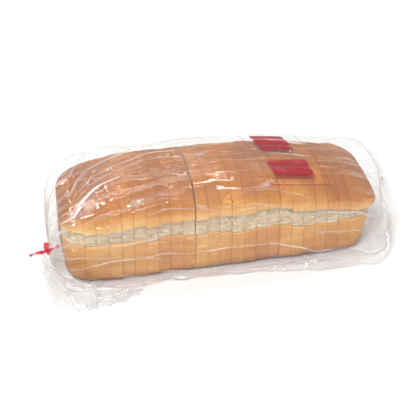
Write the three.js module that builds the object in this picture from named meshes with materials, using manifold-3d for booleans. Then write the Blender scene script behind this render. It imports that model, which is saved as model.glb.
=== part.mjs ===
// A sliced white tin loaf in its clear film bag, closed with a red twist tie.
// Millimetres, +Z up. The loaf runs along X. The origin is under the middle of its cut slices, on the
// surface that the bag stands on. The bag's neck is at -X, and the loose skirt past the tie lies forward,
// towards -Y.
import * as THREE from "three";
import { mergeVertices } from "three/addons/utils/BufferGeometryUtils.js";
import Module from "manifold-3d";

// Loaf
const LOAF_WIDTH = 108;
const LOAF_HEIGHT = 97;
const CUT_SLICES = 22;
const SLICE_PITCH = 12;
const NECK_HEEL = 18; // crust end next to the bag's neck
const FAR_HEEL = 34; // thicker crust end next to the bag's seal
const SLICE_GAP = 0.35; // between neighbouring cut faces
const OPEN_GAP = 1.1; // at the cut where the loaf has been handled and stands a little open
const OPEN_CUT = 9; // that cut, counted from the neck end
const BREAK_HEIGHT = 48; // top edge of the tin-side crust, where the dough burst
const SLICE_SWAY = 0.8; // how far slices stand out of line, front to back

// Bag
const FILM = 0.5; // wall of the drawn film
const FILM_CLEARANCE = 0.4; // film to crust under the loaf
const BAG_WIDTH = 124;
const SLACK_ABOVE = 5; // film over the crown
const BAG_MIDDLE = 45; // height at which the bag's section is widest
const BAG_LEFT = -161; // where the film has closed on its neck
const BAG_RIGHT = 182; // the bag's sealed end
const NECK_RADIUS = 4.5;
const NECK_BORE = 2; // what is left open inside the gathered film
const NECK_LENGTH = 6;
const NECK = new THREE.Vector3(-163, -25, 33); // where the neck leaves the loaf end
const SECTION_POINTS = 32;

// Tie
const TIE_WIDTH = 4;
const TIE_THICKNESS = 0.9;
const TIE_CLEARANCE = 0.4;
const TAIL_WIDTH = 2.6; // the twisted ends
const TAIL_THICKNESS = 1.4;

const LOAF_FLOOR = FILM + FILM_CLEARANCE; // underside of the slices
const LAST_CUT = (CUT_SLICES * SLICE_PITCH) / 2;
const NECK_TIP = LAST_CUT + NECK_HEEL; // how far the loaf reaches each way from the middle
const FAR_TIP = LAST_CUT + FAR_HEEL;

const CRUST = { color: 0xc98b4e, roughness: 0.6, metalness: 0 };
const FILM_LOOK = { color: 0xf2f3f4, roughness: 0.1, metalness: 0, transparent: true, opacity: 0.3 };
const TIE_LOOK = { color: 0xc81f35, roughness: 0.35, metalness: 0 };

const material = (look) => new THREE.MeshStandardMaterial(look);

const named = (name, geometry, look) => {
  const mesh = new THREE.Mesh(geometry, material(look));
  mesh.name = name;
  return mesh;
};

// ---- Loaf ---------------------------------------------------------------------------------------

// Half of the loaf's section at mid length, from the middle of the base up the side to the crown. The side
// crust stops at the break, the torn band above it is set in, and the risen crown overhangs it.
const halfSection = () => {
  const w = LOAF_WIDTH / 2;
  const half = new THREE.Path();
  half.moveTo(0, 0);
  half.lineTo(w - 13, 0);
  half.quadraticCurveTo(w - 2.5, 0.5, w - 1.8, 12);
  half.lineTo(w - 0.3, BREAK_HEIGHT - 2);
  half.lineTo(w - 1.6, BREAK_HEIGHT);
  half.lineTo(w - 2.2, BREAK_HEIGHT + 9);
  half.lineTo(w - 0.2, BREAK_HEIGHT + 14);
  half.bezierCurveTo(w + 0.8, 78, w - 10, LOAF_HEIGHT - 1, 0, LOAF_HEIGHT);
  return half.getPoints(5);
};

const loafSection = () => {
  const right = halfSection();
  const left = right.slice(1, -1).map((p) => new THREE.Vector2(-p.x, p.y));
  return [...right, ...left.reverse()];
};

// How full the loaf is at x: 1 in the middle, 0 at its ends. A high power gives a square end, a low one a
// round end.
const fullness = (x, power) => {
  const toTip = x < 0 ? -x / NECK_TIP : x / FAR_TIP;
  return Math.pow(Math.max(0, 1 - Math.pow(toTip, power)), 1 / power);
};
const WIDTH_POWER = 7;
const BASE_POWER = 12;

// The crown stands high up to the neck end and falls away over a long slope at the far end.
const crownFullness = (x) => fullness(x, x < 0 ? 6 : 1.9);

const loafRing = (x, sway) => {
  const wide = fullness(x, WIDTH_POWER);
  const crown = crownFullness(x);
  const base = fullness(x, BASE_POWER);
  return loafSection().map((p) => {
    const rise = p.y - BREAK_HEIGHT;
    const z = LOAF_FLOOR + BREAK_HEIGHT + rise * (rise > 0 ? crown : base);
    return new THREE.Vector3(x, p.x * wide + sway, z);
  });
};

// A closed geometry from rings of equal length: side strips between them, and a fan over the first and the
// last ring.
const ringSolid = (rings) => {
  const n = rings[0].length;
  const centre = (ring) => ring.reduce((sum, p) => sum.add(p), new THREE.Vector3()).divideScalar(n);
  const points = [...rings.flat(), centre(rings[0]), centre(rings.at(-1))];
  const index = [];
  for (let r = 0; r + 1 < rings.length; r++) {
    for (let i = 0; i < n; i++) {
      const a = r * n + i;
      const b = r * n + ((i + 1) % n);
      index.push(a, b, b + n, a, b + n, a + n);
    }
  }
  const first = rings.length * n;
  const last = (rings.length - 1) * n;
  for (let i = 0; i < n; i++) {
    const j = (i + 1) % n;
    index.push(first, j, i, first + 1, last + i, last + j);
  }
  return new THREE.BufferGeometry().setFromPoints(points).setIndex(index);
};

const swayOf = (i) => SLICE_SWAY * Math.sin(2.4 * i);

const cutSlice = (i) => {
  const before = i === OPEN_CUT + 1 ? OPEN_GAP / 2 : SLICE_GAP / 2;
  const after = i === OPEN_CUT ? OPEN_GAP / 2 : SLICE_GAP / 2;
  const start = -LAST_CUT + (i - 1) * SLICE_PITCH + before;
  const end = -LAST_CUT + i * SLICE_PITCH - after;
  return ringSolid([loafRing(start, swayOf(i)), loafRing(end, swayOf(i))]);
};

// A crust end: rings closing on the loaf's tip, closer together as it rounds over.
const heel = (side) => {
  const STEPS = 6;
  const tip = side > 0 ? FAR_TIP : NECK_TIP;
  const face = LAST_CUT + SLICE_GAP / 2;
  const rings = [];
  for (let s = 0; s < STEPS; s++) {
    rings.push(loafRing(side * THREE.MathUtils.lerp(face, tip, Math.sin((s / STEPS) * (Math.PI / 2))), 0));
  }
  rings.push(loafRing(side * (tip - 0.02), 0));
  return ringSolid(side > 0 ? rings : rings.reverse());
};

const loaf = () => {
  const group = new THREE.Group();
  group.add(named("heel_neck_end", heel(-1), CRUST));
  for (let i = 1; i <= CUT_SLICES; i++) {
    group.add(named(`slice_${String(i).padStart(2, "0")}`, cutSlice(i), CRUST));
  }
  group.add(named("heel_far_end", heel(1), CRUST));
  return group;
};

// ---- Bag ----------------------------------------------------------------------------------------

const signedPower = (value, power) => Math.sign(value) * Math.pow(Math.abs(value), power);

// One ring of the film over the loaf: rounded above, squarer below, and flat where it lies on the surface.
const bodyRing = (x, scale, inset) => {
  const TOP_POWER = 2.8;
  const BASE_ROUNDING = 5;
  const FAR_SLACK = 0.86; // the film falls away less steeply than the crown does
  const ring = [];
  const toNeck = Math.pow(THREE.MathUtils.clamp((x + NECK_TIP) / (BAG_LEFT + NECK_TIP), 0, 1), 2);
  const y0 = NECK.y * toNeck;
  const z0 = THREE.MathUtils.lerp(BAG_MIDDLE, NECK.z, toNeck);
  const crown = x < 0 ? 1 : crownFullness(x * FAR_SLACK);
  const top = LOAF_FLOOR + BREAK_HEIGHT + (LOAF_HEIGHT - BREAK_HEIGHT) * crown + SLACK_ABOVE;
  for (let i = 0; i < SECTION_POINTS; i++) {
    const angle = (i / SECTION_POINTS) * 2 * Math.PI - Math.PI / 2;
    const power = 2 / (Math.sin(angle) > 0 ? TOP_POWER : BASE_ROUNDING);
    const y = signedPower(Math.cos(angle), power) * ((BAG_WIDTH / 2) * scale - inset);
    const reach = Math.sin(angle) > 0 ? top - BAG_MIDDLE : BAG_MIDDLE + 2;
    const z = z0 + signedPower(Math.sin(angle), power) * (reach * scale - inset);
    ring.push(new THREE.Vector3(x, y0 + y, Math.max(z, inset)));
  }
  return ring;
};

// A ring of the gathered neck or of the skirt: an ellipse with half axes across and up, about centre.
const ellipseRing = (centre, across, up, inset) => {
  const shrink = (axis) => axis.clone().setLength(Math.max(0.2, axis.length() - inset));
  const a = shrink(across);
  const b = shrink(up);
  const ring = [];
  for (let i = 0; i < SECTION_POINTS; i++) {
    const angle = (i / SECTION_POINTS) * 2 * Math.PI - Math.PI / 2;
    ring.push(centre.clone().addScaledVector(a, Math.cos(angle)).addScaledVector(b, Math.sin(angle)));
  }
  return ring;
};

// The film from its sealed end over the loaf, through the neck and out to the skirt's open mouth.
const bagSurface = (inset) => {
  const rings = [];
  const END_POWER = 3;
  const END_STEPS = 6;
  const SEAL_START = 145;
  for (let s = END_STEPS; s > 0; s--) {
    const turn = (s / (END_STEPS + 0.35)) * (Math.PI / 2);
    const reach = BAG_RIGHT - SEAL_START - inset;
    const scale = Math.pow(1 - Math.pow(Math.sin(turn), END_POWER), 1 / END_POWER);
    rings.push(bodyRing(SEAL_START + reach * Math.sin(turn), scale, inset));
  }
  for (const x of [SEAL_START, 95, 47, 0, -47, -95, -138]) {
    rings.push(bodyRing(x, 1, inset));
  }
  for (const [x, scale] of [[-150, 0.97], [-153.5, 0.86], [-156, 0.66], [-158.5, 0.4], [BAG_LEFT, 0.16]]) {
    rings.push(bodyRing(x + inset, scale, inset));
  }
  const wall = inset ? NECK_RADIUS - NECK_BORE : 0;
  const v = (x, y, z) => new THREE.Vector3(x, y, z);
  rings.push(
    ellipseRing(NECK, v(0, NECK_RADIUS, 0), v(0, 0, NECK_RADIUS), wall),
    ellipseRing(v(NECK.x - NECK_LENGTH, NECK.y, NECK.z), v(0, NECK_RADIUS, 0), v(0, 0, NECK_RADIUS), wall),
    ellipseRing(v(-174, -36, 23), v(-7, 4, 0), v(-2, -3, 4), inset),
    ellipseRing(v(-166, -49, 14), v(-15, 3, 0), v(0, -3, 6), inset),
    ellipseRing(v(-148, -72, 6), v(-26, -2, 0), v(0, -1, 5), inset),
    ellipseRing(v(-124, -81, 3.2), v(-41, -8, 0), v(0, 0, 3), inset),
  );
  return rings;
};

// Outer and inner surface joined at the mouth, with a pole over the sealed end of each.
const bag = () => {
  const outer = bagSurface(0);
  const inner = bagSurface(FILM);
  const n = SECTION_POINTS;
  const count = outer.length * n;
  const pole = (ring) => ring.reduce((sum, p) => sum.add(p), new THREE.Vector3()).divideScalar(n);
  const points = [...outer.flat(), ...inner.flat(), pole(outer[0]), pole(inner[0])];
  const index = [];
  const quad = (a, b, c, d) => index.push(a, b, c, a, c, d);
  for (let r = 0; r + 1 < outer.length; r++) {
    for (let i = 0; i < n; i++) {
      const j = (i + 1) % n;
      quad(r * n + j, r * n + i, (r + 1) * n + i, (r + 1) * n + j);
      quad(count + r * n + i, count + r * n + j, count + (r + 1) * n + j, count + (r + 1) * n + i);
    }
  }
  const mouth = (outer.length - 1) * n;
  for (let i = 0; i < n; i++) {
    const j = (i + 1) % n;
    quad(mouth + j, mouth + i, count + mouth + i, count + mouth + j);
    index.push(2 * count, i, j, 2 * count + 1, count + j, count + i);
  }
  return named("bag", new THREE.BufferGeometry().setFromPoints(points).setIndex(index), FILM_LOOK);
};

// ---- Twist tie ----------------------------------------------------------------------------------

const wasm = await Module();
wasm.setup();

const toSolid = (geometry) => {
  const bare = geometry.clone();
  bare.deleteAttribute("normal");
  bare.deleteAttribute("uv");
  const merged = mergeVertices(bare, 1e-4);
  return new wasm.Manifold(
    new wasm.Mesh({
      numProp: 3,
      vertProperties: new Float32Array(merged.attributes.position.array),
      triVerts: new Uint32Array(merged.index.array),
    }),
  );
};

const toGeometry = (solid) => {
  const mesh = solid.getMesh();
  return new THREE.BufferGeometry()
    .setAttribute("position", new THREE.BufferAttribute(new Float32Array(mesh.vertProperties), 3))
    .setIndex(new THREE.BufferAttribute(new Uint32Array(mesh.triVerts), 1));
};

const tieBand = () => {
  const inner = NECK_RADIUS + TIE_CLEARANCE;
  const outer = inner + TIE_THICKNESS;
  const profile = [
    [inner, -TIE_WIDTH / 2],
    [outer, -TIE_WIDTH / 2],
    [outer, TIE_WIDTH / 2],
    [inner, TIE_WIDTH / 2],
    [inner, -TIE_WIDTH / 2],
  ].map(([r, h]) => new THREE.Vector2(r, h));
  return new THREE.LatheGeometry(profile, 28).rotateZ(Math.PI / 2);
};

// A tail of the tie, from the twist beside the neck to its free end, as a strip along a gentle curve.
const tieTail = (points) => {
  const strip = new THREE.Shape();
  strip.moveTo(-TAIL_THICKNESS / 2, -TAIL_WIDTH / 2);
  strip.lineTo(TAIL_THICKNESS / 2, -TAIL_WIDTH / 2);
  strip.lineTo(TAIL_THICKNESS / 2, TAIL_WIDTH / 2);
  strip.lineTo(-TAIL_THICKNESS / 2, TAIL_WIDTH / 2);
  const path = new THREE.CatmullRomCurve3(points.map((p) => new THREE.Vector3(...p)));
  return new THREE.ExtrudeGeometry(strip, { steps: 8, extrudePath: path });
};

const twistTie = () => {
  const LONG_TAIL = [[0, -6.3, 0.4], [-3, -9, 2.5], [-9, -11, 4.5], [-17, -11.5, 4]];
  const SHORT_TAIL = [[0, -6.3, 0.4], [0.8, -10, 2.5], [0.5, -15, 5]];
  const joined = [tieTail(LONG_TAIL), tieTail(SHORT_TAIL)]
    .map(toSolid)
    .reduce((whole, tail) => whole.add(tail), toSolid(tieBand()));
  const tie = named("twist_tie", toGeometry(joined), TIE_LOOK);
  tie.position.set(NECK.x - NECK_LENGTH / 2, NECK.y, NECK.z);
  return tie;
};

const loafInBag = new THREE.Group();
loafInBag.name = "loaf_in_bag";
loafInBag.add(loaf(), bag(), twistTie());

export default loafInBag;
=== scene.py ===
"""A sliced white tin loaf in a clear film bag, closed with a red twist tie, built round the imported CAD
frame.

The frame's origin is under the middle of the cut slices, on the surface the bag stands on: +X runs from
the bag's neck to its sealed end, -Y is the front and +Z is up. Lengths in this file are millimetres until
a mesh is made.
"""

import math

import bpy
import numpy as np
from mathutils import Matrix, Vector


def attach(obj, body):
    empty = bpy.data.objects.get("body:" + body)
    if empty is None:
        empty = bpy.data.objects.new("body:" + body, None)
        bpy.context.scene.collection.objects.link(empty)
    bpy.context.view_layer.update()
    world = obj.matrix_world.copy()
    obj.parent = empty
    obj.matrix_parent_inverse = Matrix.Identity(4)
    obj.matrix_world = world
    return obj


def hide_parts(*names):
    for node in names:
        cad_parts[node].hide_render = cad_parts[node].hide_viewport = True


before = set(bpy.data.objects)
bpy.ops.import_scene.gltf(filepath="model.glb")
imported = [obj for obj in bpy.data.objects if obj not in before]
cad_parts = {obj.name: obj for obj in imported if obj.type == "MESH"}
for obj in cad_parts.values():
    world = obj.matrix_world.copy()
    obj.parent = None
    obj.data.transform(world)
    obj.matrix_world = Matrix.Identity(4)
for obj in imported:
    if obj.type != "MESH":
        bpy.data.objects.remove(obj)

bl_info = {
    "name": "Sliced Loaf In Bag",
    "version": (1, 0, 0),
    "blender": (4, 5, 0),
    "location": "View3D > Sidebar > Loaf",
    "description": "Builds a sliced tin loaf in a clear film bag with a twist tie, and its studio",
    "category": "Add Mesh",
}

MM = 0.001

# Loaf
CUT_SLICES = 22
PITCH = 12.0
LAST_CUT = CUT_SLICES * PITCH / 2
NECK_TIP = LAST_CUT + 18.0
FAR_TIP = LAST_CUT + 34.0
WIDTH = 108.0
HEIGHT = 98.0
FLOOR_OF_LOAF = 0.9
BREAK = 47.0  # height about which the loaf closes in at its ends
OPEN_CUT = -LAST_CUT + 9 * PITCH  # the cut at which the loaf stands a little open
# Heights along the front, as places and heights: the side crust's torn edge, and the crown's edge above it.
FRONT_LOW = ((-132, -15, 45, 130, 166), (47, 46, 44, 40.5, 39))
FRONT_HIGH = ((-132, -100, -15, 30, 60, 75, 110, 135, 166), (60, 61, 63.7, 64, 66, 61, 57, 51, 48))

# Bag
AROUND = 190  # points round the film
GIRTH = 410.0  # what the film measures round the loaf
BODY_FROM, BODY_TO = 150.0, -140.0  # between the crumpled seal and the gathers at the neck
NECK = np.array([-163.0, -25.0, 33.0])  # where the neck leaves the loaf's end
NECK_LENGTH = 6.0
NECK_LINE = 118.0  # how far round the film, from under the loaf, the creases meet at the neck
NECK_FOLDS = (26, 34)  # how many folds gather at the neck, and their seed
SEAL_FOLDS = (19, 35)  # the same for the sealed end
# Where the painted highlight line along the fold at the lower crust lies.
LOW_FOLD_GLINT = (0.0905, 0.0965)  # metres round the film between which the fold along the lower crust wanders

# Print, as low x, high x, low y and high y
PANELS = ((54, 88, 4, 34), (52, 92, -38, -12))
PRINT_LINE = (44, 104, -44, 40)
PRINT_LINE_WIDTH = 0.6


# ---- Shape helpers -------------------------------------------------------------------------------


def lumps(a, b, size, seed):
    """Smooth noise of about -1 to 1 over two lengths, with features of about the given size."""
    rng = np.random.default_rng(seed)
    total = 0.0
    for _ in range(8):
        turn = rng.uniform(0, 2 * math.pi)
        rate = 2 * math.pi / (size * rng.uniform(0.7, 1.7))
        phase = rng.uniform(0, 2 * math.pi)
        total = total + np.sin(rate * (a * math.cos(turn) + b * math.sin(turn)) + phase)
    return total / 4


def bezier(points, t):
    """Points on a cubic Bezier curve; each of the four control points may be an array of points."""
    a, b, c, d = points
    return (1 - t) ** 3 * a + 3 * t * (1 - t) ** 2 * b + 3 * t**2 * (1 - t) * c + t**3 * d


def through(points, steps):
    """A closed Catmull-Rom curve through the points."""
    p = np.asarray(points, float)
    t = (np.arange(steps) / steps)[:, None]
    before, here, after, beyond = (np.roll(p, k, axis=0)[:, None] for k in (1, 0, -1, -2))
    curve = 0.5 * (
        2 * here
        + (after - before) * t
        + (2 * before - 5 * here + 4 * after - beyond) * t**2
        + (3 * here - before - 3 * after + beyond) * t**3
    )
    return curve.reshape(-1, p.shape[1])


def even_ring(curve, count):
    """The closed curve again as evenly spaced points, and how far round it each one is."""
    closed = np.vstack([curve, curve[:1]])
    along = np.concatenate([[0], np.cumsum(np.linalg.norm(np.diff(closed, axis=0), axis=1))])
    want = np.arange(count) / count * along[-1]
    return np.stack([np.interp(want, along, closed[:, k]) for k in range(closed.shape[1])], axis=1), want


def outward(ring):
    """Outward normals of a flat ring that runs under, front, over, back."""
    tangent = np.roll(ring, -1, axis=0) - np.roll(ring, 1, axis=0)
    tangent /= np.maximum(np.linalg.norm(tangent, axis=1, keepdims=True), 1e-9)
    return np.stack([-tangent[:, 1], tangent[:, 0]], axis=1)


def loft(name, rings, first_pole=None, last_pole=None):
    """A mesh object from rings of equal length, each (n, 3) in millimetres, fanned to a pole at an end."""
    count = rings.shape[1]
    points = rings.reshape(-1, 3)
    here = np.arange(count)
    after = np.roll(here, -1)
    faces = []
    for r in range(rings.shape[0] - 1):
        a, b = r * count, (r + 1) * count
        faces += np.stack([a + here, a + after, b + after, b + here], axis=1).tolist()
    if first_pole is not None:
        faces += [[len(points), j, i] for i, j in zip(here.tolist(), after.tolist())]
        points = np.vstack([points, first_pole])
    if last_pole is not None:
        base = (rings.shape[0] - 1) * count
        faces += [[len(points), base + i, base + j] for i, j in zip(here.tolist(), after.tolist())]
        points = np.vstack([points, last_pole])
    mesh = bpy.data.meshes.new(name)
    mesh.from_pydata((points * MM).tolist(), [], faces)
    mesh.update()
    mesh.shade_smooth()
    obj = bpy.data.objects.new(name, mesh)
    bpy.context.scene.collection.objects.link(obj)
    return obj


def store(obj, name, values):
    """A float per vertex, for the material to read."""
    layer = obj.data.attributes.new(name, "FLOAT", "POINT")
    layer.data.foreach_set("value", np.asarray(values, np.float32))


def made_plain(obj):
    """The object with its modifiers made real."""
    mesh = bpy.data.meshes.new_from_object(obj.evaluated_get(bpy.context.evaluated_depsgraph_get()))
    obj.modifiers.clear()
    obj.data = mesh
    return obj


def finished(obj, material, slot, *nodes):
    """Gives the piece its material and its place in the frame, in the stead of those CAD nodes."""
    obj.data.materials.clear()
    obj.data.materials.append(material)
    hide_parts(*nodes)
    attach(obj, "root")
    return obj


# ---- Materials -----------------------------------------------------------------------------------


class Tree:
    """Adds nodes to a node tree with their sockets and properties in one line each."""

    def __init__(self, tree):
        self.tree = tree
        tree.nodes.clear()

    def add(self, kind, inputs=None, **properties):
        node = self.tree.nodes.new(kind)
        for key, value in properties.items():
            setattr(node, key, value)
        for key, value in (inputs or {}).items():
            if isinstance(value, bpy.types.NodeSocket):
                self.tree.links.new(value, node.inputs[key])
            else:
                node.inputs[key].default_value = value
        return node

    def math(self, operation, a, b=0.5, clamp=False):
        return self.add("ShaderNodeMath", {0: a, 1: b}, operation=operation, use_clamp=clamp).outputs[0]

    def ramp(self, factor, *stops):
        node = self.add("ShaderNodeValToRGB", {"Fac": factor})
        while len(node.color_ramp.elements) < len(stops):
            node.color_ramp.elements.new(0.5)
        for element, (place, colour) in zip(node.color_ramp.elements, stops):
            element.position = place
            element.color = (*colour, 1)
        return node.outputs[0]

    def range(self, value, low, high, to_low=0.0, to_high=1.0):
        inputs = {"Value": value, "From Min": low, "From Max": high, "To Min": to_low, "To Max": to_high}
        return self.add("ShaderNodeMapRange", inputs, clamp=True).outputs[0]

    def mix(self, factor, a, b):
        node = self.add("ShaderNodeMix", {"Factor": factor}, data_type="RGBA")
        for socket, value in ((node.inputs[6], a), (node.inputs[7], b)):
            if isinstance(value, bpy.types.NodeSocket):
                self.tree.links.new(value, socket)
            else:
                socket.default_value = (*value, 1)
        return node.outputs[2]

    def noise(self, vector, scale, detail=2.0, rough=0.5):
        inputs = {"Vector": vector, "Scale": scale, "Detail": detail, "Roughness": rough}
        return self.add("ShaderNodeTexNoise", inputs).outputs[0]

    def from_middle(self, vector, detail, rough):
        """How far a noise is from its middle value: 0 along wandering lines."""
        return self.math("ABSOLUTE", self.math("SUBTRACT", self.noise(vector, 1, detail, rough), 0.5))

    def cells(self, vector, scale, feature="F1"):
        inputs = {"Vector": vector, "Scale": scale}
        return self.add("ShaderNodeTexVoronoi", inputs, feature=feature).outputs["Distance"]

    def stretched(self, vector, scale):
        return self.add("ShaderNodeMapping", {"Vector": vector, "Scale": scale}).outputs[0]

    def bump(self, height, strength, distance, normal=None):
        inputs = {"Height": height, "Strength": strength, "Distance": distance}
        if normal is not None:
            inputs["Normal"] = normal
        return self.add("ShaderNodeBump", inputs).outputs[0]

    def blend(self, factor, a, b):
        return self.add("ShaderNodeMixShader", {0: factor, 1: a, 2: b}).outputs[0]

    def done(self, shader):
        self.add("ShaderNodeOutputMaterial", {"Surface": shader})


def new_material(name):
    material = bpy.data.materials.new(name)
    material.use_nodes = True
    return material, Tree(material.node_tree)


def bread_material():
    """Crust by how baked it is and crumb where there is none: per-vertex "bake" and "crust" say which. The
    crumb is painted darker in its pores and cracks, as painted shade in them.
    """
    material, t = new_material("bread")
    place = t.add("ShaderNodeTexCoord").outputs["Object"]
    bake = t.add("ShaderNodeAttribute", attribute_name="bake").outputs["Fac"]
    crust = t.add("ShaderNodeAttribute", attribute_name="crust").outputs["Fac"]

    cloud = t.noise(place, 28, 3, 0.55)
    speckle = t.noise(place, 420, 3, 0.6)
    along = t.noise(t.stretched(place, (14, 90, 90)), 1, 3, 0.6)
    baked = t.math("ADD", bake, t.range(cloud, 0.3, 0.7, -0.13, 0.13))
    baked = t.math("ADD", baked, t.range(speckle, 0.3, 0.7, -0.06, 0.06))
    baked = t.math("ADD", baked, t.range(along, 0.3, 0.7, -0.07, 0.07), clamp=True)
    crust_colour = t.ramp(
        baked,
        (0.0, (0.83, 0.60, 0.30)),
        (0.22, (0.72, 0.39, 0.105)),
        (0.45, (0.60, 0.255, 0.042)),
        (0.7, (0.42, 0.14, 0.014)),
        (1.0, (0.28, 0.08, 0.009)),
    )
    # Pores: the crumb is painted darker in the middle of each cell, as painted shade in the holes, and the
    # bump sinks them.
    pores, big_pores = t.cells(place, 950.0), t.cells(place, 420.0)
    open_crumb = t.math("ADD", t.range(pores, 0.0, 0.4), t.range(big_pores, 0.0, 0.3))
    # Thin wandering cracks in the crumb: the bump sinks them and they are painted darker, as painted shade
    # in the cracks.
    tears = t.from_middle(t.stretched(place, (90, 90, 260)), 3, 0.7)
    torn = t.math("MULTIPLY", t.range(tears, 0.0, 0.05, 1.0, 0.0), 0.3)
    # Random darker tone from the cloud noise, plus the painted shade in the cracks.
    tone_and_crack_shade = t.math("ADD", t.math("MULTIPLY", t.range(cloud, 0.35, 0.65), 0.2), torn)
    crumb_colour = t.ramp(
        t.math("SUBTRACT", t.math("MULTIPLY", open_crumb, 0.5), tone_and_crack_shade),
        (0.0, (0.42, 0.27, 0.13)),
        (0.3, (0.70, 0.52, 0.30)),
        (0.75, (0.84, 0.66, 0.42)),
    )
    colour = t.mix(t.range(crust, 0.25, 0.75), crumb_colour, crust_colour)

    crumb_height = t.math("MULTIPLY", t.math("SUBTRACT", open_crumb, torn), t.range(crust, 0.7, 0.3))
    crust_height = t.math("ADD", t.noise(place, 900, 3, 0.6), t.noise(place, 160, 2, 0.5))
    normal = t.bump(crumb_height, 1.0, 0.0018)
    normal = t.bump(crust_height, 0.35, 0.0007, normal)
    shader = t.add(
        "ShaderNodeBsdfPrincipled",
        {
            "Base Color": colour,
            "Roughness": t.range(crust, 0.3, 0.8, 0.95, 0.62),
            "Normal": normal,
            "Specular IOR Level": 0.35,
            "Subsurface Weight": 0.08,
            "Subsurface Radius": (0.6, 0.3, 0.12),
            "Subsurface Scale": 0.003,
        },
    )
    t.done(shader.outputs[0])
    return material


def panel_mask(t, along, across, box):
    """1 inside the box (low x, high x, low y, high y) in millimetres, 0 outside."""
    mask = 1.0
    for value, low, high in ((along, box[0], box[1]), (across, box[2], box[3])):
        above = t.math("GREATER_THAN", value, low * MM)
        below = t.math("LESS_THAN", value, high * MM)
        mask = t.math("MULTIPLY", t.math("MULTIPLY", above, below), mask)
    return mask


def crease_lines(t, drape, scale, width, seed):
    """Thin long lines on the film: 1 on a line, falling to 0 within the width. They run along the drape."""
    mapping = {"Vector": drape, "Location": (seed, 2 * seed, 0), "Scale": scale}
    shifted = t.add("ShaderNodeMapping", mapping).outputs[0]
    return t.range(t.from_middle(shifted, 1.5, 0.4), 0.0, width, 1.0, 0.0)


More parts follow.
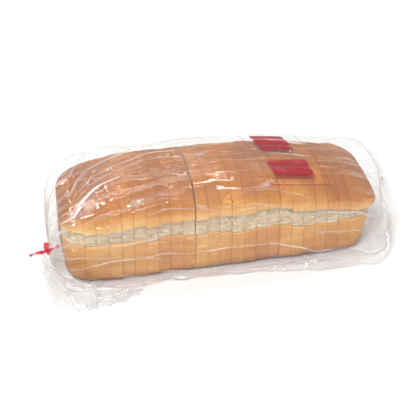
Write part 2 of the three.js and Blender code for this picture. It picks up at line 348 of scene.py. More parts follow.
def film_material(settings, neck_at):
    """Clear polythene: see-through, glossy by its angle, a little milky, with plain printed panels on top.
    Its creases follow the per-vertex "drape", the film's own directions, which fan out from the neck. Past
    the neck, which is neck_at metres from the seal, they give way to crumples. The crease lines, the
    crumples and a line along the fold at the lower crust are also whitened, as painted highlights."""
    material, t = new_material("film")
    place = t.add("ShaderNodeTexCoord").outputs["Object"]
    drape = t.add("ShaderNodeAttribute", attribute_name="drape").outputs["Vector"]
    some = t.range(t.noise(t.stretched(drape, (16, 26, 1)), 1, 2, 0.5), 0.46, 0.6)
    long_lines = t.math("MULTIPLY", crease_lines(t, drape, (3.2, 55, 1), 0.026, 3.0), some)
    short_lines = t.math("MULTIPLY", crease_lines(t, drape, (9, 100, 1), 0.02, 11.0), 0.4)
    lines = t.math("MAXIMUM", long_lines, t.math("MULTIPLY", short_lines, t.math("SUBTRACT", 1.0, some)))
    from_seal, _, round_it = t.add("ShaderNodeSeparateXYZ", {"Vector": drape}).outputs
    loose = t.range(from_seal, neck_at, neck_at + 0.02)
    crumpled = t.range(t.cells(place, 27.0, "DISTANCE_TO_EDGE"), 0.0, 0.03, 0.75, 0.0)
    lines = t.math("MULTIPLY", lines, t.range(loose, 0.0, 1.0, 1.0, 0.25))
    lines = t.math("MAXIMUM", lines, t.math("MULTIPLY", crumpled, loose))
    crinkle = t.noise(t.stretched(drape, (32, 110, 1)), 1, 4, 0.6)
    streaks = t.noise(t.stretched(drape, (8, 230, 1)), 1, 3, 0.6)
    creases = t.cells(t.stretched(drape, (9, 60, 1)), 1.0, "DISTANCE_TO_EDGE")
    normal = t.bump(crinkle, 0.12, 0.001)
    normal = t.bump(streaks, 0.14, 0.0008, normal)
    normal = t.bump(t.range(creases, 0.0, 0.1), 0.3, 0.0006, normal)
    normal = t.bump(lines, 0.8, 0.0011, normal)

    clear = t.add("ShaderNodeBsdfTransparent", {"Color": (0.995, 0.995, 0.995, 1)})
    # White shader for the film's real milky haze, which also carries its painted highlights.
    haze_and_glint_white = t.blend(
        0.4,
        t.add("ShaderNodeBsdfDiffuse", {"Color": (0.95, 0.95, 0.96, 1), "Normal": normal}).outputs[0],
        t.add("ShaderNodeBsdfTranslucent", {"Color": (0.95, 0.95, 0.96, 1), "Normal": normal}).outputs[0],
    )
    facing = t.add("ShaderNodeLayerWeight", {"Blend": 0.5, "Normal": normal}).outputs["Facing"]
    patchy = t.range(t.noise(place, 24, 3, 0.6), 0.35, 0.7, 0.6, 1.4)
    haze_and_painted_glints = t.math("MULTIPLY", t.math("ADD", t.math("POWER", facing, 2.5), 0.35), settings.haze)
    haze_and_painted_glints = t.math("MULTIPLY", haze_and_painted_glints, patchy, clamp=True)
    # Painted highlights: the crease lines and crumples are whitened through the milky shader, white streaks
    # whatever the lamps do.
    glint = t.math("MULTIPLY", t.math("POWER", lines, 1.5), 0.9)
    haze_and_painted_glints = t.math("MAXIMUM", haze_and_painted_glints, glint)
    # A thin whitened line along the fold at the lower crust: a painted highlight.
    wander = t.range(t.noise(t.stretched(drape, (9, 0, 0)), 1, 2, 0.5), 0.3, 0.7, *LOW_FOLD_GLINT)
    fold = t.range(t.math("ABSOLUTE", t.math("SUBTRACT", round_it, wander)), 0.0, 0.0007, 1.0, 0.0)
    broken = t.range(t.noise(t.stretched(drape, (26, 0, 0)), 1, 2, 0.5), 0.42, 0.58, 0.15, 1.0)
    fold = t.math("MULTIPLY", fold, broken)
    haze_and_painted_glints = t.math("MAXIMUM", haze_and_painted_glints, fold)
    body = t.blend(haze_and_painted_glints, clear.outputs[0], haze_and_glint_white)
    mirror = {"Color": (1, 1, 1, 1), "Roughness": settings.gloss, "Normal": normal}
    gloss = t.add("ShaderNodeBsdfGlossy", mirror)
    shine = t.math("ADD", t.math("MULTIPLY", t.math("POWER", facing, 4.0), 0.45), 0.036)
    film = t.blend(shine, body, gloss.outputs[0])

    split = t.add("ShaderNodeSeparateXYZ", {"Vector": place})
    x, y, z = split.outputs
    skewed = t.math("ADD", x, t.math("MULTIPLY", y, 0.18))
    blocks = t.math("MAXIMUM", *(panel_mask(t, skewed, y, box) for box in PANELS))
    inner = [edge + side * PRINT_LINE_WIDTH for edge, side in zip(PRINT_LINE, (1, -1, 1, -1))]
    line = t.math("SUBTRACT", panel_mask(t, skewed, y, PRINT_LINE), panel_mask(t, skewed, y, inner))
    bars = t.add("ShaderNodeTexWave", {"Vector": place, "Scale": 26.0}, bands_direction="Y").outputs["Fac"]
    blocks = t.math("MULTIPLY", blocks, t.range(bars, 0.12, 0.16, 0.25, 1.0))
    printed = t.math("MAXIMUM", blocks, t.math("MULTIPLY", line, 0.5))
    printed = t.math("MULTIPLY", printed, t.math("GREATER_THAN", z, 0.07))
    ink = t.add(
        "ShaderNodeBsdfPrincipled",
        {"Base Color": (*settings.ink, 1), "Roughness": 0.3, "Normal": normal},
    )
    t.done(t.blend(t.math("MULTIPLY", printed, 0.8), film, ink.outputs[0]))
    return material


def tie_material(coating):
    """Red coated strip, a little rubbed in patches."""
    material, t = new_material("tie")
    place = t.add("ShaderNodeTexCoord").outputs["Object"]
    rub = t.noise(place, 600, 3, 0.6)
    colour = t.mix(t.range(rub, 0.45, 0.75), tuple(coating), (0.8, 0.10, 0.14))
    shader = t.add(
        "ShaderNodeBsdfPrincipled",
        {
            "Base Color": colour,
            "Roughness": t.range(rub, 0.3, 0.8, 0.25, 0.5),
            "Normal": t.bump(t.noise(place, 1500, 2, 0.5), 0.2, 0.0002),
            "Coat Weight": 0.3,
        },
    )
    t.done(shader.outputs[0])
    return material


# ---- Loaf ----------------------------------------------------------------------------------------


def fullness(x, power):
    """How full the loaf is at x: 1 in the middle, 0 at its ends."""
    to_tip = -x / NECK_TIP if x < 0 else x / FAR_TIP
    return max(0.0, 1 - to_tip**power) ** (1 / power)


def crown_top(x):
    """Height of the crown at x: high up to the neck end, and falling away slowly towards the far end."""
    full = fullness(x, 4.6 if x < 0 else 1.9)
    return BREAK + (HEIGHT - BREAK) * full + 2.6 * math.exp(-(((x + 85) / 55) ** 2))


def half_profile(low, high, top):
    """The loaf's section from the middle of its base up the front to the crown, as (distance out, height,
    baked, crust): low and high are the heights of the side crust's edge and of the crown's edge. At the
    bottom round the baked value is partly real baking and partly painted shade where the loaf meets the
    surface."""
    w = WIDTH / 2
    high = low + min(high - low, 0.6 * (top - low))
    rows = []

    def run(start, end, steps, baked, crust, bend=None):
        for k in range(steps):
            f = k / steps
            if bend:
                p = (1 - f) ** 2 * np.array(start) + 2 * f * (1 - f) * np.array(bend) + f**2 * np.array(end)
            else:
                p = (1 - f) * np.array(start) + f * np.array(end)
            rows.append((*p, baked[0] + (baked[1] - baked[0]) * f, crust[0] + (crust[1] - crust[0]) * f))

    run((0, 0), (w - 14, 0), 7, (0.8, 0.9), (1, 1))
    # The bottom round: its dark value is partly real baking and partly painted shade where the loaf meets
    # the surface.
    run((w - 14, 0), (w - 1.8, 13), 9, (0.95, 0.5), (1, 1), bend=(w - 2.6, 0.3))
    run((w - 1.8, 13), (w - 0.4, low - 1.6), 12, (0.5, 0.38), (1, 1))
    run((w - 0.4, low - 1.6), (w - 2.6, low + 0.4), 4, (0.38, 0.24), (1, 0.6), bend=(w - 0.3, low + 0.1))
    hollow = (w - 4.2, (low + high) / 2)
    run((w - 2.6, low + 0.4), (w - 3.8, high - 1.4), 12, (0.1, 0.1), (0, 0), bend=hollow)
    run((w - 3.8, high - 1.4), (w + 0.3, high + 1.6), 5, (0.3, 0.17), (0.45, 1), bend=(w - 0.2, high - 1.2))
    cap = top - high
    arch = [(w + 0.3, high + 1.6), (w + 0.9, high + 0.5 * cap), (w - 11, top - 0.03 * cap), (0, top)]
    for k in range(27):
        p = bezier([np.array(q) for q in arch], k / 26)
        baked = float(np.interp((p[1] - high) / cap, (0, 0.16, 0.5, 1), (0.17, 0.34, 0.68, 0.86)))
        rows.append((*p, baked, 1.0))
    return np.array(rows)


def loaf_ring(x, cut, shrink=0.0):
    """One ring of the loaf's skin at x as points, bake and crust. cut is (sway, height, edge), how its slice
    stands out from its neighbours, and shrink pulls the ring in, for the edge of a cut."""
    sway, tall, edge = cut
    top = crown_top(x)
    low = float(np.interp(x, *FRONT_LOW)) + 0.9 * lumps(x, 0.0, 26, 3) + 0.35 * lumps(x, 0.0, 5, 4) + edge
    high = float(np.interp(x, *FRONT_HIGH)) + 1.0 * lumps(x, 0.0, 30, 5) + 0.6 * lumps(x, 0.0, 6, 6)
    high += 0.7 * edge
    front = half_profile(low, high, top)
    back = half_profile(46 + 1.3 * lumps(x, 9.0, 30, 7), 61 + 1.8 * lumps(x, 9.0, 30, 8), top)
    y = np.concatenate([-front[:, 0], back[-2:0:-1, 0]])
    z, baked, crust = (np.concatenate([front[:, k], back[-2:0:-1, k]]) for k in (1, 2, 3))
    section = np.stack([y, z], axis=1)
    round_it = np.arange(len(y)) * 2.6
    raised = 0.45 * lumps(x, round_it, 48, 11) + 0.18 * lumps(x, round_it, 13, 12)
    torn = raised + 0.8 * lumps(x, z * 1.5, 8, 13) + 0.6 * lumps(x, z * 1.5, 3.2, 14)
    raised = np.where(z < 8, 0.0, np.where(crust < 0.5, torn, raised)) - shrink
    y, z = (section + outward(section) * raised[:, None]).T
    z = np.where(z < BREAK, BREAK + (z - BREAK) * fullness(x, 12), BREAK + (z - BREAK) * tall)
    plan = np.clip((z - BREAK) / 45, 0, 1)
    y = y * (fullness(x, 7) * (1 - plan) + fullness(x, 4.5) * plan)
    scuff = np.exp(-(((x - 9) / 4.5) ** 2) - ((z - 78) / 5.5) ** 2) * (y < 0)
    baked = baked + scuff * (0.5 * lumps(x, z, 3.0, 16) - 0.08)
    z = np.maximum(z, 0)
    undercut = 9 + 7 * (1 - np.minimum(z / 45, 1))
    drawn_in = np.clip((x - LAST_CUT) / 34, 0, 1) * np.clip((53 - z) / 8, 0, 1) * undercut
    return np.stack([x - drawn_in, y + sway, FLOOR_OF_LOAF + z], axis=1), baked, crust


def opened(points):
    """The loaf stands open at one cut: slices before it lean to the neck and those after it lean away."""
    side = np.sign(points[:, 0] - OPEN_CUT)
    lean = 0.7 * (points[:, 2] / HEIGHT) ** 1.3 * np.exp(-np.abs(points[:, 0] - OPEN_CUT) / 34)
    points[:, 0] += side * lean
    return points


def slice_object(name, places, cut, tone):
    """A slice or heel from its skin rings at the given places; a heel's tip is where its rings close."""
    rings, bakes, crusts = [], [], []

    def face(x, shrink, into):
        ring, baked, _ = loaf_ring(x, cut, shrink)
        centre = np.array([x, cut[0], FLOOR_OF_LOAF + 44])
        steps = [(1.0, 1.0), (0.985, 0.85), (0.962, 0.15), (0.8, 0.0), (0.5, 0.0), (0.2, 0.0)]
        built = [(centre + (ring - centre) * k, baked, np.full(len(ring), c)) for k, c in steps]
        return built[::-1] if into else built

    start, end = places[0], places[-1]
    skin = [loaf_ring(x, cut) for x in places[1:-1]]
    parts = (face(start, 0.2, True) if start > -NECK_TIP + 1 else [loaf_ring(start, cut)]) + skin
    parts += face(end, 0.2, False) if end < FAR_TIP - 1 else [loaf_ring(end, cut)]
    for ring, baked, crust in parts:
        rings.append(opened(ring.copy()))
        bakes.append(np.clip(baked + tone, 0, 1))
        crusts.append(crust)
    rings = np.array(rings)
    obj = loft(name, rings, rings[0].mean(axis=0), rings[-1].mean(axis=0))
    for label, values in (("bake", bakes), ("crust", crusts)):
        values = np.concatenate(values)
        store(obj, label, np.concatenate([values, [values[0], values[-1]]]))
    return obj


# ---- Bag -----------------------------------------------------------------------------------------


def film_section(x):
    """The film round the loaf at x, evenly spaced, and the distance round it. It lies flat under the loaf,
    runs out in front of it as a low fold on the surface, comes back to the side crust and goes over the
    crown."""
    foot = float(np.interp(x, (-140, -71, -21, 40, 77, 117, 150), (60, 61, 61, 66, 71, 76, 75)))
    foot += 1.6 * float(lumps(x, 0.0, 30, 21))
    leave = 24 + 2.5 * float(lumps(x, 3.0, 60, 22))
    back = 66 + 3 * float(lumps(x, 5.0, 50, 23))
    top = FLOOR_OF_LOAF + crown_top(x if x < 0 else 0.94 * x) + 1.2 + 1.8 * abs(x / 150) ** 2
    rise = (top - 50) / 51.0
    points = [
        (0, 0.3), (-25, 0.3), (-46, 0.3), (5 - foot, 0.4), (-foot, 1.3), (4 - foot, 3.0), (-60.5, 9.5),
        (-58.2, leave - 6), (-57.4, leave), (-57.0, 34), (-56.8, 44), (-56.4, 54), (-56.4, 63), (-56.0, 72),
        (-52.6, 81.5), (-45, 90), (-33, 96.2), (-17, 99.8), (0, 101), (18, 101.4), (34, 99.5), (47, 93.5),
        (56.5, 83), (59.5, 70), (58.8, 55), (58.5, 40), (58.8, 25), (60.5, 12), (back - 3, 3.2), (back, 1.3),
        (back - 5, 0.4), (46, 0.3), (25, 0.3),
    ]  # fmt: skip
    points = [(y, z if z < 50 else 50 + (z - 50) * rise) for y, z in points]
    return even_ring(through(points, 10), AROUND)


def pleats(round_it, count, seed):
    """Uneven sharp folds round a closed ring, from -1 to 1; round_it is the fraction of the way round."""
    rng = np.random.default_rng(seed)
    places = (np.arange(count) + rng.uniform(-0.32, 0.32, count)) / count
    heights = rng.uniform(0.45, 1.0, count)
    value = np.zeros_like(round_it)
    for place, height in zip(places, heights):
        away = np.abs((round_it - place + 0.5) % 1 - 0.5) * count
        value = np.maximum(value, height * np.exp(-((away / 0.28) ** 1.25)))
    return value * 2 - 0.7


def fan_spread(x):
    """How far the creases that fan out from the neck have spread at x: about 1 over the loaf's middle."""
    way = x - BODY_TO
    return (1 - 0.5 * np.exp(-way / 45)) * (1 + 0.0006 * way)


def pulled_ridges(x, s, count, seed):
    """Long sharp creases that fan out from the neck end over the loaf: x along it, s the distance round."""
    rng = np.random.default_rng(seed)
    height = np.zeros(np.broadcast(x, s).shape)
    for _ in range(count):
        start = rng.uniform(100, 290)
        slope = rng.uniform(-0.03, 0.03)
        middle, reach = rng.uniform(-130, 140), rng.uniform(35, 130)
        width, tall = rng.uniform(1.7, 2.8), rng.uniform(0.7, 2.2)
        curve = rng.uniform(-1.5, 1.5)
        path = NECK_LINE + (start - NECK_LINE) * fan_spread(x) + slope * x + curve * np.sin(x / 70)
        window = np.clip(1.25 - ((x - middle) / reach) ** 2, 0, 1)
        height = np.maximum(height, tall * window * np.exp(-((np.abs(s - path) / width) ** 1.3)))
    return height


def body_rings(settings):
    """The film over the loaf, from the sealed end towards the neck."""
    rings = []
    for x in np.linspace(BODY_FROM, BODY_TO, 148):
        ring, s = film_section(x)
        fraction = s / s[-1]
        raised = pulled_ridges(x, s, settings.creases, settings.seed)
        raised += 0.8 * lumps(x * 0.6, s, 60, 31) + 0.2 * lumps(x * 0.4, s, 20, 32)
        raised += 1.3 * np.exp(-(((s - 93) / 2.4) ** 2)) * (0.6 + 0.4 * lumps(x, 0.0, 40, 33))
        raised += 2.8 * pleats(fraction, *NECK_FOLDS) * np.exp(-(x - BODY_TO) / 30)
        raised += 2.6 * pleats(fraction, *SEAL_FOLDS) * np.exp(-(BODY_FROM - x) / 16)
        raised = np.where(ring[:, 1] < 3, np.clip(raised, -0.1, 0.6), np.maximum(raised, -0.7))
        ring = ring + outward(ring) * raised[:, None]
        rings.append(np.stack([np.full(AROUND, x), ring[:, 0], np.maximum(ring[:, 1], 0.2)], axis=1))
    return np.array(rings)


def sealed_end(rim):
    """The crumpled closed end, from its tip out to the rim ring of the body."""
    rings = []
    fraction = np.arange(AROUND) / AROUND
    middle = np.array([0.0, 46.0])
    for k in range(30, 0, -1):
        turn = k / 31 * math.pi / 2
        scale = (1 - math.sin(turn) ** 2.7) ** (1 / 2.7)
        section = rim[:, 1:] - middle
        low = section[:, 1] < 0
        section = section * np.stack([np.full(AROUND, scale), np.where(low, scale**0.5, scale)], axis=1)
        section += middle
        crumple = 3.6 * pleats(fraction, *SEAL_FOLDS) * min(1.0, 3 * (1 - scale)) * scale**0.4
        crumple += 2.6 * lumps(section[:, 0], section[:, 1], 26, 41) * (1 - scale)
        crumple += 1.2 * lumps(section[:, 0], section[:, 1], 10, 42) * (1 - scale)
        x = BODY_FROM + 31 * math.sin(turn) + crumple * math.sin(turn)
        section += outward(section) * (crumple * math.cos(turn) * (1 - scale) ** 0.5)[:, None] * 0.6
        rings.append(np.stack([x, section[:, 0], np.maximum(section[:, 1], 0.2)], axis=1))
    return np.array(rings)


def neck_end(rim):
    """The film drawn in from the rim ring of the body to the neck, and along the neck."""
    fraction = np.arange(AROUND) / AROUND
    folds = pleats(fraction, *NECK_FOLDS)
    angle = fraction * 2 * math.pi
    circle = np.stack([-np.sin(angle), -np.cos(angle)], axis=1)
    rings = []
    for k in range(1, 27):
        turn = k / 26 * math.pi / 2
        left = (1 - math.sin(turn) ** 2.2) ** (1 / 2.2)
        draw = 1 - left
        radius = 4.3 + 0.7 * folds
        at_neck = NECK[1:] + circle * radius[:, None]
        section = rim[:, 1:] * left + at_neck * draw
        puff = 3.0 * (folds + 0.7) * min(1.0, 2.5 * draw) * left**0.6
        puff += lumps(section[:, 0], section[:, 1], 24, 51) * draw * left
        x = BODY_TO + (NECK[0] - BODY_TO) * math.sin(turn) ** 1.1 - puff * 0.8
        section = section + outward(rim[:, 1:]) * (puff * 0.35 * left)[:, None]
        rings.append(np.stack([x, section[:, 0], np.maximum(section[:, 1], 0.2)], axis=1))
    for k in range(1, 5):
        section = NECK[1:] + circle * (4.3 + 0.7 * folds)[:, None]
        along = np.full(AROUND, NECK[0] - NECK_LENGTH * k / 4)
        rings.append(np.stack([along, section[:, 0], section[:, 1]], axis=1))
    return np.array(rings)


def skirt(start):
    """The loose film past the tie: it falls forward from the neck to the surface and spreads along the
    loaf's front corner as two rippled layers, open at the mouth."""
    fraction = np.arange(AROUND) / AROUND
    over = (fraction > 0.25) & (fraction < 0.75)
    across = np.where(over, (0.75 - fraction) / 0.5, ((fraction + 0.25) % 1.0) / 0.5)
    layer = np.where(over, 1.0, -1.0) * np.clip(np.sin(across * math.pi), 0, 1) ** 0.5

    def spread(left, right, bow=(0, 0, 0)):
        mix = across[:, None]
        return np.array(left) * (1 - mix) + np.array(right) * mix + np.array(bow) * np.sin(mix * math.pi)

    first = spread((-178, -33, 29), (-170, -37, 24))
    second = spread((-174, -66, 9), (-158, -70, 5), (0, -4, 3))
    mouth = spread((-164, -89, 1.6), (-74, -67, 1.2), (6, -8, 0))
    ragged = np.abs(lumps(across * 100, layer * 5, 26, 65))
    ragged += 0.6 * np.abs(lumps(across * 100, layer * 5, 12, 66))
    wave = 0.4 * lumps(across * 100, layer * 9, 22, 61) + 1.3 * (ragged - 0.5)
    rings = []
    for k in range(1, 37):
        t = k / 36
        ring = bezier((start, first, second, mouth), t)
        open_up = math.sin(min(1.0, 1.3 * t) * math.pi / 2)
        ring[:, 2] += layer * (1.2 + 2.2 * t) * open_up * 0.8 + wave * (1.0 + 4.2 * t) * open_up
        ring[:, 1] += wave * 2.2 * open_up * (1 - t) + 2.0 * lumps(across * 100, layer * 4, 17, 63) * t
        ring[:, 0] += 1.5 * lumps(across * 100, layer * 6, 15, 64) * open_up
        crumple = lumps(across * 120, np.full(AROUND, t * 90) + layer * 4, 16, 67)
        ring[:, 2] += 2.6 * np.abs(crumple) * open_up
        ring[:, 2] += 9 * np.exp(-(((across - 0.8) / 0.06) ** 2) - ((t - 0.55) / 0.1) ** 2) * (layer > 0)
        ring[:, 2] = np.maximum(ring[:, 2], np.where(layer > 0, 1.0 + 1.4 * layer, 0.25))
        rings.append(ring)
    return np.array(rings)


def store_drape(obj, rings, neck_ring):
    """The film's own directions per vertex, in metres: how far it is from the seal, which fold of the fan
    from the neck it lies on, and how far round the bag it is. Gives back how far the neck is from the
    seal."""
    steps = np.linalg.norm(np.diff(rings, axis=0), axis=2).mean(axis=1)
    along = np.concatenate([[0], np.cumsum(steps)])[:, None] + np.zeros(AROUND)
    x = np.clip(rings[:, :, 0], BODY_TO, BODY_FROM)
    round_it = np.arange(AROUND) / AROUND * GIRTH
    fan = NECK_LINE + (round_it - NECK_LINE) / fan_spread(x)
    drape = np.stack([along, fan, round_it + np.zeros_like(fan)], axis=2).reshape(-1, 3) * MM
    layer = obj.data.attributes.new("drape", "FLOAT_VECTOR", "POINT")
    layer.data.foreach_set("vector", np.vstack([drape, drape[:1]]).astype(np.float32).ravel())
    return float(along[neck_ring, 0]) * MM


# ---- Twist tie -----------------------------------------------------------------------------------


def ribbon_tree():
    """Geometry nodes: a flat twisted ribbon with a raised wire along each edge path of the input mesh."""
    group = bpy.data.node_groups.new("ribbon_along_path", "GeometryNodeTree")
    face = group.interface
    face.new_socket("Geometry", in_out="INPUT", socket_type="NodeSocketGeometry")
    sizes = {"Width": 0.0036, "Thickness": 0.0005, "Wire Radius": 0.0006, "Step": 0.0006}
    for name, default in sizes.items():
        socket = face.new_socket(name, in_out="INPUT", socket_type="NodeSocketFloat")
        socket.default_value = default
    face.new_socket("Turns", in_out="INPUT", socket_type="NodeSocketFloat").default_value = 1.5
    face.new_socket("Material", in_out="INPUT", socket_type="NodeSocketMaterial")
    face.new_socket("Geometry", in_out="OUTPUT", socket_type="NodeSocketGeometry")
    t = Tree(group)
    given = t.add("NodeGroupInput")
    curve = t.add("GeometryNodeMeshToCurve", {"Mesh": given.outputs["Geometry"]})
    spacing = {"Curve": curve.outputs[0], "Length": given.outputs["Step"]}
    even = t.add("GeometryNodeResampleCurve", spacing, mode="LENGTH")
    way = t.add("GeometryNodeSplineParameter").outputs["Factor"]
    tilt = t.math("MULTIPLY", t.math("MULTIPLY", way, 2 * math.pi), given.outputs["Turns"])
    tilted = t.add("GeometryNodeSetCurveTilt", {"Curve": even.outputs[0], "Tilt": tilt})
    flat = t.add(
        "GeometryNodeCurvePrimitiveQuadrilateral",
        {"Width": given.outputs["Width"], "Height": given.outputs["Thickness"]},
    )
    wire = {"Resolution": 12, "Radius": given.outputs["Wire Radius"]}
    core = t.add("GeometryNodeCurvePrimitiveCircle", wire)
    join = t.add("GeometryNodeJoinGeometry")
    for profile in (flat, core):
        strip = t.add(
            "GeometryNodeCurveToMesh",
            {"Curve": tilted.outputs[0], "Profile Curve": profile.outputs[0], "Fill Caps": True},
        )
        group.links.new(strip.outputs[0], join.inputs[0])
    real = t.add("GeometryNodeRealizeInstances", {"Geometry": join.outputs[0]})
    painted = t.add(
        "GeometryNodeSetMaterial", {"Geometry": real.outputs[0], "Material": given.outputs["Material"]}
    )
    t.add("NodeGroupOutput", {"Geometry": painted.outputs[0]})
    return group


def path_mesh(name, paths):
    """Edges along each path, each an (n, 3) array in millimetres."""
    points, edges = [], []
    for path in paths:
        base = len(points)
        points += (np.asarray(path) * MM).tolist()
        edges += [(base + i, base + i + 1) for i in range(len(path) - 1)]
    mesh = bpy.data.meshes.new(name)
    mesh.from_pydata(points, edges, [])
    obj = bpy.data.objects.new(name, mesh)
    bpy.context.scene.collection.objects.link(obj)
    return obj


def set_inputs(modifier, **values):
    """Sets a node modifier's inputs by the names they have in its tree."""
    for item in modifier.node_group.interface.items_tree:
        if item.item_type == "SOCKET" and item.in_out == "INPUT" and item.name in values:
            modifier[item.identifier] = values[item.name]


# ---- Settings, operators and panel ---------------------------------------------------------------


class LoafSettings(bpy.types.PropertyGroup):
    """What can be set before the pieces are built."""

    sway: bpy.props.FloatProperty(
        name="Sway", description="How far slices stand out of line", default=0.8, min=0, max=2
    )
    creases: bpy.props.IntProperty(
        name="Creases", description="Long creases pulled over the film", default=70, min=0, max=200
    )
    seed: bpy.props.IntProperty(name="Seed", description="Which set of creases is used", default=5)
    film: bpy.props.FloatProperty(
        name="Film", description="Thickness of the film", default=0.0001, unit="LENGTH", subtype="DISTANCE"
    )
    haze: bpy.props.FloatProperty(
        name="Haze", description="How milky the film is", default=0.045, min=0, max=1, subtype="FACTOR"
    )
    gloss: bpy.props.FloatProperty(
        name="Roughness",
        description="Roughness of the film's shine",
        default=0.05,
        min=0,
        max=1,
        subtype="FACTOR",
    )
    ink: bpy.props.FloatVectorProperty(
        name="Ink",
        description="Colour of the panels printed on the film",
        default=(0.34, 0.006, 0.016),
        min=0,
        max=1,
        subtype="COLOR",
    )
    coating: bpy.props.FloatVectorProperty(
        name="Tie",
        description="Colour of the twist tie's coating",
        default=(0.55, 0.012, 0.045),
        min=0,
        max=1,
        subtype="COLOR",
    )


class LOAF_OT_slices(bpy.types.Operator):
    """Builds the cut slices and the two crust heels"""

    bl_idname = "loaf.slices"
    bl_label = "Slices And Heels"

    def execute(self, context):
        settings = context.scene.loaf
        bread = bread_material()
        rng = np.random.default_rng(2)
        for i in range(1, CUT_SLICES + 1):
            gap = rng.choice((0.03, 0.06, 0.13), p=(0.4, 0.4, 0.2))
            start = -LAST_CUT + (i - 1) * PITCH + 0.03
            end = -LAST_CUT + i * PITCH - gap
            places = [start, start + 0.3, start + 2.5, (start + end) / 2, end - 2.5, end - 0.3, end]
            out_of_line = settings.sway * rng.uniform(-1, 1)
            cut = (out_of_line, 1 + rng.uniform(-0.008, 0.008), rng.uniform(-2.3, 2.3))
            node = f"slice_{i:02d}"
            obj = slice_object("bread_" + node, places, cut, rng.uniform(-0.09, 0.07))
            finished(obj, bread, "bread", node)
        turn = np.sin(np.arange(1, 20) / 20 * math.pi / 2)
        face = LAST_CUT + 0.12
        near = [-(NECK_TIP - 0.03), *(-(face + (NECK_TIP - face) * turn[::-1])), -face - 0.35, -face]
        far = [face, face + 0.35, *(face + (FAR_TIP - face) * turn), FAR_TIP - 0.03]
        for node, places in (("heel_neck_end", near), ("heel_far_end", far)):
            finished(slice_object("bread_" + node, places, (0.0, 1.0, 0.0), -0.04), bread, "bread", node)
        return {"FINISHED"}


class LOAF_OT_bag(bpy.types.Operator):
    """Builds the film bag: sealed end, body, gathered neck and loose skirt"""

    bl_idname = "loaf.bag"
    bl_label = "Film Bag"

    def execute(self, context):
        settings = context.scene.loaf
        body = body_rings(settings)
        end = sealed_end(body[0])
        neck = neck_end(body[-1])
        rings = np.concatenate([end, body, neck, skirt(neck[-1])])
        obj = loft("film_bag", rings, first_pole=end[0].mean(axis=0))
        neck_at = store_drape(obj, rings, len(end) + len(body) + len(neck) - 1)
        wall = obj.modifiers.new("wall", "SOLIDIFY")
        wall.thickness = settings.film
        wall.offset = -1
        made_plain(obj)
        finished(obj, film_material(settings, neck_at), "film", "bag")
        return {"FINISHED"}


class LOAF_OT_tie(bpy.types.Operator):
    """Builds the twist tie round the bag's neck"""

    bl_idname = "loaf.tie"
    bl_label = "Twist Tie"

    def execute(self, context):
        middle = NECK + np.array([-NECK_LENGTH / 2, 0, 0])
        angle = np.linspace(0, 2 * math.pi * 1.9, 90)
        coil = np.stack([np.linspace(-1.3, 1.3, 90), -5.3 * np.cos(angle), 5.3 * np.sin(angle)], axis=1)
        bends = [
            ((0, -5.4, 0.2), (-3, -9, 2), (-9, -10, 4.6), (-18, -12, 2.4)),
            ((0, -5.4, 0.2), (2, -8, 2.2), (5, -9, 6), (11, -11, 9)),
        ]
        t = np.linspace(0, 1, 24)[:, None]
        paths = [middle + coil, *(middle + bezier([np.array(p, float) for p in bend], t) for bend in bends)]
        obj = path_mesh("red_twist_tie", paths)
        material = tie_material(context.scene.loaf.coating)
        ribbon = obj.modifiers.new("ribbon", "NODES")
        ribbon.node_group = ribbon_tree()
        set_inputs(ribbon, Width=0.0034, Thickness=0.00045, Turns=0.75, Material=material)
        made_plain(obj)
        finished(obj, material, "tie", "twist_tie")
        return {"FINISHED"}


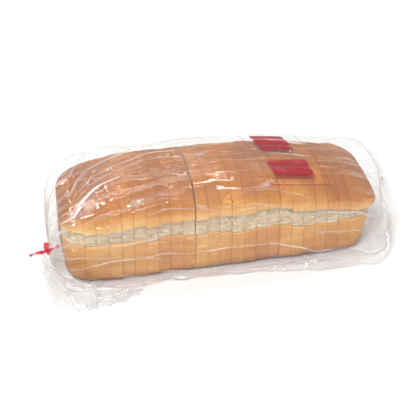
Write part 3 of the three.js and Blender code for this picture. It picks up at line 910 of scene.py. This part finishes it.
class LOAF_OT_stage(bpy.types.Operator):
    """Builds the floor, the studio light and the camera"""

    bl_idname = "loaf.stage"
    bl_label = "Studio"

    def area(self, name, place, aim, size, power):
        light = bpy.data.lights.new(name, "AREA")
        light.shape = "RECTANGLE"
        light.size, light.size_y = size
        light.energy = power
        obj = bpy.data.objects.new(name, light)
        obj.location = place
        obj.rotation_euler = (Vector(aim) - Vector(place)).to_track_quat("-Z", "Y").to_euler()
        bpy.context.scene.collection.objects.link(obj)

    def execute(self, context):
        scene = context.scene
        mesh = bpy.data.meshes.new("floor")
        mesh.from_pydata([(-6, -6, 0), (6, -6, 0), (6, 6, 0), (-6, 6, 0)], [], [(0, 1, 2, 3)])
        material, t = new_material("floor")
        paper = {"Base Color": (0.8, 0.8, 0.8, 1), "Roughness": 0.9}
        t.done(t.add("ShaderNodeBsdfPrincipled", paper).outputs[0])
        mesh.materials.append(material)
        floor = bpy.data.objects.new("floor", mesh)
        scene.collection.objects.link(floor)

        world = bpy.data.worlds.new("studio")
        world.use_nodes = True
        t = Tree(world.node_tree)
        sky = t.add("ShaderNodeBackground", {"Color": (1, 1, 1, 1), "Strength": 0.65})
        t.add("ShaderNodeOutputWorld", {"Surface": sky.outputs[0]})
        scene.world = world
        self.area("key", (-0.5, -1.0, 1.5), (0, 0, 0.03), (0.45, 0.35), 19)
        self.area("top", (-0.3, 0.8, 1.2), (0, 0, 0.05), (1.2, 0.8), 3.5)
        self.area("strip_back", (0.0, 0.5, 1.5), (0, 0, 0.05), (1.4, 0.04), 4.5)
        self.area("strip_front", (-0.2, -0.35, 1.5), (0, 0, 0.05), (1.2, 0.04), 4.5)

        camera = bpy.data.objects.new("camera", bpy.data.cameras.new("camera"))
        camera.data.lens = 114
        camera.data.sensor_width = 36
        camera.location = (-0.2311, -1.0616, 0.7937)
        aim = Vector((-0.0025, -0.008, 0.045)) - camera.location
        camera.rotation_euler = aim.to_track_quat("-Z", "Y").to_euler()
        scene.collection.objects.link(camera)
        scene.camera = camera
        scene.view_settings.view_transform = "Standard"
        scene.cycles.transparent_max_bounces = 64
        scene.cycles.max_bounces = 16
        scene.cycles.glossy_bounces = 8
        return {"FINISHED"}


class LOAF_PT_panel(bpy.types.Panel):
    bl_label = "Loaf In Bag"
    bl_idname = "LOAF_PT_panel"
    bl_space_type = "VIEW_3D"
    bl_region_type = "UI"
    bl_category = "Loaf"

    def draw(self, context):
        settings = context.scene.loaf
        for name in ("sway", "creases", "seed", "film", "haze", "gloss", "ink", "coating"):
            self.layout.prop(settings, name)
        for name in ("loaf.slices", "loaf.bag", "loaf.tie", "loaf.stage"):
            self.layout.operator(name)


CLASSES = (LoafSettings, LOAF_OT_slices, LOAF_OT_bag, LOAF_OT_tie, LOAF_OT_stage, LOAF_PT_panel)


def register():
    for cls in CLASSES:
        bpy.utils.register_class(cls)
    bpy.types.Scene.loaf = bpy.props.PointerProperty(type=LoafSettings)


def unregister():
    del bpy.types.Scene.loaf
    for cls in reversed(CLASSES):
        bpy.utils.unregister_class(cls)


def main():
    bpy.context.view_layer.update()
    register()
    bpy.ops.loaf.slices()
    bpy.ops.loaf.bag()
    bpy.ops.loaf.tie()
    bpy.ops.loaf.stage()


if __name__ == "__main__":
    main()
